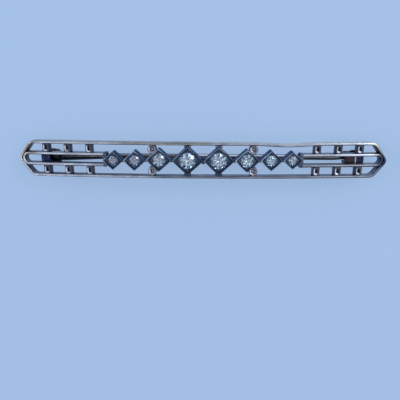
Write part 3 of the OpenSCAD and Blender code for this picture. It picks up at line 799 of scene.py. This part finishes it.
def worn_pin_metal():
    """Grey-olive worn metal, streaked along the pin and black where the rub is small:
    black tarnish, and on the pin's wire and root painted shade on the -y side. Behind
    the row it is darker with painted shade, with a painted highlight along the side
    next to the upper rail, both stronger on the right. Its root and thumb tab are brown
    with tarnish."""
    f = Finish("worn_pin_metal")
    streaks = f.noise(700.0, 4.0, (0.18, 1, 1))
    fine = f.noise(4200.0, 3.0, (0.3, 1, 1))
    colour = f.blend(streaks, DARK_STREAK, PALE_STREAK)
    axis = f.axes()
    # Painted shade on the pin behind the row, darker on the right.
    behind_row = f.math("MULTIPLY", f.ramp(axis["X"], -17.5 * MM, -16.8 * MM),
                        f.ramp(axis["X"], 17.5 * MM, 16.8 * MM))
    right = f.ramp(axis["X"], -3 * MM, -1 * MM)
    colour = f.blend(behind_row, colour, f.blend(right, ROW_SHADE_LEFT, ROW_SHADE_RIGHT))
    # Painted highlight along the pin's side next to the upper rail, behind the row.
    line = f.math("MULTIPLY", f.ramp(axis["Y"], 0.0, 0.06 * MM),
                  f.ramp(axis["Y"], 0.46 * MM, 0.38 * MM))
    line = f.math("MULTIPLY", line, behind_row)
    colour = f.blend(line, colour, f.blend(right, ROW_HIGHLIGHT_LEFT, ROW_HIGHLIGHT_RIGHT))
    # Black tarnish, and on the wire and root painted shade on the -y side, where the rub is
    # small.
    rubbed_and_lit = f.math("MULTIPLY", f.rub_and_painted_light, f.ramp(streaks, 0.2, 0.5, 0.7, 1.0))
    colour = f.blend(rubbed_and_lit, BLACK_TARNISH_AND_SHADE, colour)
    colour = f.blend(f.near(SHOULDER_AT, 0.4), colour, SHOULDER_BROWN)
    colour = f.blend(f.near(SPOT_AT, 0.25), colour, SPOT_RED)
    colour = f.blend(f.near(THUMB_AT, 0.9), colour, THUMB_BROWN)
    f.feed(f.shader, Metallic=1.0, Base_Color=colour, Roughness=f.ramp(fine, 0.3, 0.7, 0.24, 0.4))
    f.bump(fine, 0.02)
    return f.material


NAVY_BLACK, NAVY_GREY = (0.012, 0.016, 0.038), (0.040, 0.052, 0.10)
HINGE_FRONT_AT, HINGE_BLUE = (HINGE_X, 0, 2.6), (0.035, 0.11, 0.27)
CATCH_HALF_AT, CATCH_BROWN = (26.6, 0, 2.8), (0.075, 0.045, 0.040)
LIGHT_LINE_X, LIGHT_LINE_COLOUR = 27.65, (0.60, 0.62, 0.70)
PALE_SPOT_AT, PALE_SPOT = (-27.98, 0.15, 2.55), (0.62, 0.48, 0.56)


def tarnished_block():
    """Navy-black tarnished metal: bluer towards -y on the hinge's front, brown on the
    left half of the catch, with a light line across the catch's middle and a small
    pale spot at the hinge's edge."""
    f = Finish("tarnished_block")
    cloud = f.noise(1500.0, 4.0)
    axis = f.axes()
    colour = f.blend(cloud, NAVY_BLACK, NAVY_GREY)
    blue = f.math("MULTIPLY", f.ramp(axis["Y"], 0.0, -0.9 * MM), f.near(HINGE_FRONT_AT, 1.2))
    colour = f.blend(blue, colour, HINGE_BLUE)
    brown = f.math("MULTIPLY", f.near(CATCH_HALF_AT, 0.9), f.ramp(cloud, 0.3, 0.6, 0.5, 1.0))
    colour = f.blend(brown, colour, CATCH_BROWN)
    line = f.band(axis["X"], LIGHT_LINE_X * MM, 0.16 * MM, 0.06 * MM)
    colour = f.blend(f.math("MULTIPLY", line, 0.8), colour, LIGHT_LINE_COLOUR)
    colour = f.blend(f.near(PALE_SPOT_AT, 0.16), colour, PALE_SPOT)
    f.feed(f.shader, Metallic=1.0, Base_Color=colour,
           Roughness=f.ramp(cloud, 0.3, 0.7, 0.28, 0.45))
    f.bump(cloud, 0.03)
    return f.material


PIN_METAL = worn_pin_metal()
TARNISHED = tarnished_block()
hinge_front = front_height(HINGE_X) - RAIL_DEPTH + BASE_RISE
ear_out = EAR_IN + EAR_T
grid, rub_and_painted_light = block(HINGE_X, 0, EAR_R, ear_out, BASE_RISE - RAIL_DEPTH, HINGE_BACK, soft=0.05)
fit(make_piece("hinge_base", grid, rub_and_painted_light, (True, False)), TARNISHED)
ears = [tongue(HINGE_X, EAR_R, low, low + EAR_T, hinge_front - 2 * SOLDER)
        for low in (-ear_out, EAR_IN)]
ear_grid, ear_rub = map(np.stack, zip(*ears))
fit(make_piece("hinge_ears", ear_grid, ear_rub, (True, False)), TARNISHED)

head = ear_out + HEAD_T
head_r = RIVET_R + HEAD_OVER
half_rivet = np.array([
    [ear_out, RIVET_R], [ear_out, head_r], [head - 0.08, head_r],
    [head - 0.04, 0.85 * head_r], [head, 0.5 * head_r], [head, 0]])
rivet = np.concatenate([half_rivet[::-1] * (-1, 1), half_rivet])
fit(make_piece("rivet", turned(HINGE_X, RIVET_Z, rivet, "y"), 0.6, (True, False)),
    PIN_METAL, "brooch", "hinge_rivet")


# Pin

# Hard-drawn wire with a long ground point, thicker towards the hinge. Its root is
# hammered flat to two square shoulders and an eye, which turns on the rivet.

EYE_HALF = 0.65
RIVET_GAP = 0.05
ROOT_HALF = 1.45
ROOT_MID = 1.25
ROOT_ROUND = 0.7
ROOT_LEN = 2.0
ROOT_T = 0.55
ROOT_CONE = 1.0
SWELL_R = 0.9
SWELL_LEN = 9.0
TAPER_LEN = 5.0
POINT_R = 0.08
PIN_CLEAR = 0.1
CATCH_X = 27.6
CATCH_LEN = 3.4

eye_r = EAR_R - PIN_CLEAR
shoulder_x = HINGE_X + EAR_R + PIN_CLEAR
swell_x = shoulder_x + ROOT_LEN
stem_x = swell_x + SWELL_LEN
tip_x = CATCH_X + CATCH_LEN / 2 - PIN_CLEAR

along = np.linspace(stem_x, tip_x - TAPER_LEN, 40)
wire = np.concatenate([
    [(swell_x - ROOT_CONE, 0), (swell_x - ROOT_CONE, ROOT_T / 2),
     (swell_x - 0.15, SWELL_R - 0.06), (swell_x, SWELL_R)],
    np.stack([along, along * 0 + PIN_R], 1),
    [(tip_x - TAPER_LEN * (1 - t), PIN_R + (POINT_R - PIN_R) * t)
     for t in (0.25, 0.5, 0.75, 0.98)],
    [(tip_x - 0.03, 0.6 * POINT_R), (tip_x, 0)]])
# Painted light and shade: the wire is lighter on its +y side, black on its -y side and towards
# the root.
lit_side = smooth(-0.42, -0.12, np.cos(full_turn(36)[:, None]))
wire_light_and_shade = lit_side * smooth(swell_x - 0.3, swell_x + 2.5, wire[:, 0])
wire_piece = make_piece("pin_wire", turned(0, PIN_Z, wire, "x"), wire_light_and_shade, (True, False))
fit(wire_piece, PIN_METAL, "pin", "pin_stem")

bore = RIVET_R + RIVET_GAP
eye = [(-EYE_HALF, bore), (-EYE_HALF, eye_r - 0.05), (0.05 - EYE_HALF, eye_r),
       (EYE_HALF - 0.05, eye_r), (EYE_HALF, eye_r - 0.05), (EYE_HALF, bore)]
fit(make_piece("pin_eye", turned(HINGE_X, RIVET_Z, eye, "y"), 0.4),
    PIN_METAL, "pin", "pin_stem")


def flat_root(points=32):
    """Root of the pin: rounded oblong sections along x, whose half width follows the
    eye, steps out to the shoulders and narrows to the wire."""
    x = np.array([HINGE_X + bore + 0.05, shoulder_x - 0.06, shoulder_x, shoulder_x + 0.06,
                  swell_x - ROOT_ROUND, swell_x - 0.4, swell_x - 0.15, swell_x])
    half = np.array([EYE_HALF - 0.02, EYE_HALF, ROOT_HALF - 0.06, ROOT_HALF,
                     ROOT_MID, 1.0, 0.75, SWELL_R / 2])
    low = RIVET_Z + RIVET_GAP
    across, up = round_shape(full_turn(points), 5.0)
    y = half[:, None] * across
    z = low + ROOT_T / 2 * (1 + up)
    # Painted light along the root's +y edge; painted shade leaves the rest black.
    brighter_side = 0.5 * smooth(0.5, 0.9, y / half[:, None])
    return np.stack([x[:, None] + 0 * y, y, z + 0 * y], -1), brighter_side


root_grid, root_light_side = close_ends(*flat_root())
fit(make_piece("pin_root", root_grid, root_light_side, (False, True)),
    PIN_METAL, "pin", "pin_stem")


# Catch

# A block under the arms of the right loop with a ring that is open towards the back
# and parted in the middle, where the thumb tab of the turning sleeve comes out.

RING_R = 1.2
MOUTH_W = 1.12
SLEEVE_R = 0.8
SLEEVE_BORE_R = 0.57
SLEEVE_GAP = 0.04
TAB_GAP_W = 1.0
CATCH_BACK = -2.3
THUMB_OUT = 0.45
THUMB_T = 0.36
THUMB_TURN = radians(26)


def open_ring(low_x, high_x, inner, outer, mouth, power=6.0, turns=49, points=24):
    """Ring along X about the pin's axis, open downwards over the width of the mouth:
    a rounded oblong of its wall carried round by an angle, and never below z = 0."""
    gap = np.arcsin(mouth / 2 / inner)
    turn = np.linspace(-np.pi / 2 + gap, 1.5 * np.pi - gap, turns)[:, None]
    across, along = round_shape(full_turn(points), power)
    r = (inner + outer) / 2 + (outer - inner) / 2 * across
    x = (low_x + high_x) / 2 - (high_x - low_x) / 2 * along
    z = np.maximum(PIN_Z + r * np.sin(turn), 0)
    return np.stack([x + 0 * turn, r * np.cos(turn), z], -1), 0.3 + 0 * z


ring_bore = SLEEVE_R + SLEEVE_GAP
catch_left, catch_right = CATCH_X - CATCH_LEN / 2, CATCH_X + CATCH_LEN / 2
grid, rub_and_painted_light = block(CATCH_X, 0, CATCH_LEN / 2, loop_out - 2 * SOLDER, BASE_RISE - RAIL_DEPTH,
                  CATCH_BACK, soft=0.05)
fit(make_piece("catch_base", grid, rub_and_painted_light, (True, False)), TARNISHED)
for name, low_x, high_x in (("catch_cheek_left", catch_left, CATCH_X - TAB_GAP_W / 2),
                            ("catch_cheek_right", CATCH_X + TAB_GAP_W / 2, catch_right)):
    cheek = open_ring(low_x, high_x, ring_bore, RING_R, MOUTH_W)
    fit(make_piece(name, *close_ends(*cheek), (False, True)), TARNISHED)

sleeve = open_ring(catch_left, catch_right, SLEEVE_BORE_R, SLEEVE_R, MOUTH_W - 0.02)
sleeve = make_piece("sleeve", *close_ends(*sleeve), (False, True))
fit(sleeve, PIN_METAL, "catch", "catch_rotor")


def thumb_tab(points=40):
    """Thumb tab: half a rounded disc lying in a plane through the sleeve's axis, on a
    neck that passes through the ring, given as half widths against the way out."""
    tip = RING_R + THUMB_OUT
    out = np.array([0.68, 0.72, RING_R + 0.04, RING_R + 0.06, tip - 0.3, tip - 0.15,
                    tip - 0.05, tip - 0.005, tip])
    half = np.array([0.44, 0.46, 0.46, 1.07, 0.97, 0.72, 0.45, 0.2, 0.0])
    across, up = round_shape(full_turn(points), 5.0)
    x = CATCH_X + half[:, None] * across
    thick = THUMB_T / 2 * np.where(out > tip - 0.01, 0.6, 1.0)[:, None] * up
    y = out[:, None] * cos(THUMB_TURN) - thick * sin(THUMB_TURN)
    z = PIN_Z + out[:, None] * sin(THUMB_TURN) + thick * cos(THUMB_TURN)
    return np.stack([x, y, z], -1)[::-1], 0.5 + 0 * z


tab = make_piece("thumb_tab", *close_ends(*thumb_tab()), (False, True))
fit(tab, PIN_METAL, "catch", "catch_rotor")


# Table, light and camera

# The brooch lies on its back on a pale blue table that glows a little, in a studio
# with a strip light along it overhead, panels of light between dark gaps all round,
# a bright far wall and a dark near one. The camera leans to the upper rail.

FLOOR_COLOUR = (0.368, 0.517, 0.755)
FLOOR_GLOW = 0.76
FLOOR_SHARE = 0.36
FLOOR_HALF = 2000.0
PANELS = 7
PANEL, PANEL_GAP = (1.0, 1.06, 1.18), (0.015, 0.03, 0.07)
WALLS = (0.34, 0.39, 0.50)
CEILING = (0.03, 0.05, 0.09)
FAR_WALL = (0.86, 0.92, 1.04)
NEAR_WALL = (0.01, 0.015, 0.03)
STRIP_LIGHT = (0.94, 0.96, 1.06)
STRIP_SIDE = -0.18
CAMERA_PLACE = (-0.67, 15.54, 85.45)
CAMERA_PITCH = radians(15.81)
CAMERA_ROLL = radians(0.364)
CAMERA_LENS = 41.56


def pale_table():
    """Matt pale blue surface with the faintest clouding, which glows a little."""
    f = Finish("pale_table")
    cloud = f.noise(9.0, 2.0)
    paint = f.blend(cloud, tuple(FLOOR_SHARE * c for c in FLOOR_COLOUR),
                    tuple(1.06 * FLOOR_SHARE * c for c in FLOOR_COLOUR))
    f.feed(f.shader, Base_Color=paint, Roughness=0.85, Specular_IOR_Level=0.1,
           Emission_Color=(*FLOOR_COLOUR, 1), Emission_Strength=FLOOR_GLOW)
    return f.material


edge = np.linspace(-FLOOR_HALF, FLOOR_HALF, 3)
grid = np.stack(np.meshgrid(edge, edge, [0.0], indexing="ij"), -1)[:, :, 0]
floor = make_piece("floor", grid, 0.0, (False, False))
floor.data.materials.append(pale_table())


class Studio(Finish):
    """The surroundings, as a colour for each direction."""

    def __init__(self, name):
        world = bpy.data.worlds.new(name)
        bpy.context.scene.world = world
        world.use_nodes = True
        self.tree = world.node_tree
        self.shader = self.tree.nodes["Background"]
        self.place = self.add("ShaderNodeTexCoord").outputs["Generated"]


def soft_studio():
    """A strip light along x over a dark ceiling, bright panels and dark gaps by a sine
    of the angle round the table below it, mid grey walls, a bright far wall, and the
    near wall dark."""
    s = Studio("soft_studio")
    axis = s.axes()
    height, depth = axis["Z"], axis["Y"]
    panels = s.blend(s.ramp(s.spokes(s.place, PANELS), -0.1, 0.3), PANEL, PANEL_GAP)
    light = s.blend(s.ramp(height, 0.35, 0.5), WALLS, panels)
    light = s.blend(s.ramp(height, 0.82, 0.88), light, CEILING)
    far = s.math("MULTIPLY", s.ramp(depth, 0.25, 0.7), 0.8)
    light = s.blend(s.math("MULTIPLY", far, s.ramp(height, 0.75, 0.5)), light, FAR_WALL)
    strip = s.band(depth, STRIP_SIDE, 0.20, 0.14)
    strip = s.math("MULTIPLY", strip, s.ramp(height, 0.45, 0.65))
    light = s.blend(strip, light, STRIP_LIGHT)
    near = s.math("MULTIPLY", s.ramp(depth, -0.1, -0.5), s.ramp(height, 0.8, 0.5))
    light = s.blend(s.math("MULTIPLY", near, 0.85), light, NEAR_WALL)
    s.tree.links.new(light, s.shader.inputs["Color"])


soft_studio()


def lamp(name, place, size, watts, colour):
    """Soft square lamp aimed at the brooch, its place and side in metres."""
    light = bpy.data.lights.new(name, "AREA")
    light.size, light.energy, light.color = size, watts, colour
    holder = bpy.data.objects.new(name, light)
    holder.location = place
    aim = -holder.location
    holder.rotation_euler = aim.to_track_quat("-Z", "Y").to_euler()
    bpy.context.scene.collection.objects.link(holder)


lamp("soft_lamp_right", (0.28, 0.20, 0.30), 0.16, 0.35, (1.0, 0.98, 1.0))
lamp("soft_lamp_left", (-0.34, 0.12, 0.22), 0.10, 0.25, (0.85, 0.92, 1.0))

camera = bpy.data.objects.new("camera", bpy.data.cameras.new("camera"))
camera.data.lens = CAMERA_LENS
camera.data.sensor_width = 36
camera.data.clip_start = 0.001
camera.rotation_euler = (-CAMERA_PITCH, 0, CAMERA_ROLL)
camera.location = [v * MM for v in CAMERA_PLACE]
bpy.context.scene.collection.objects.link(camera)
bpy.context.scene.camera = camera
bpy.context.scene.view_settings.view_transform = "Standard"
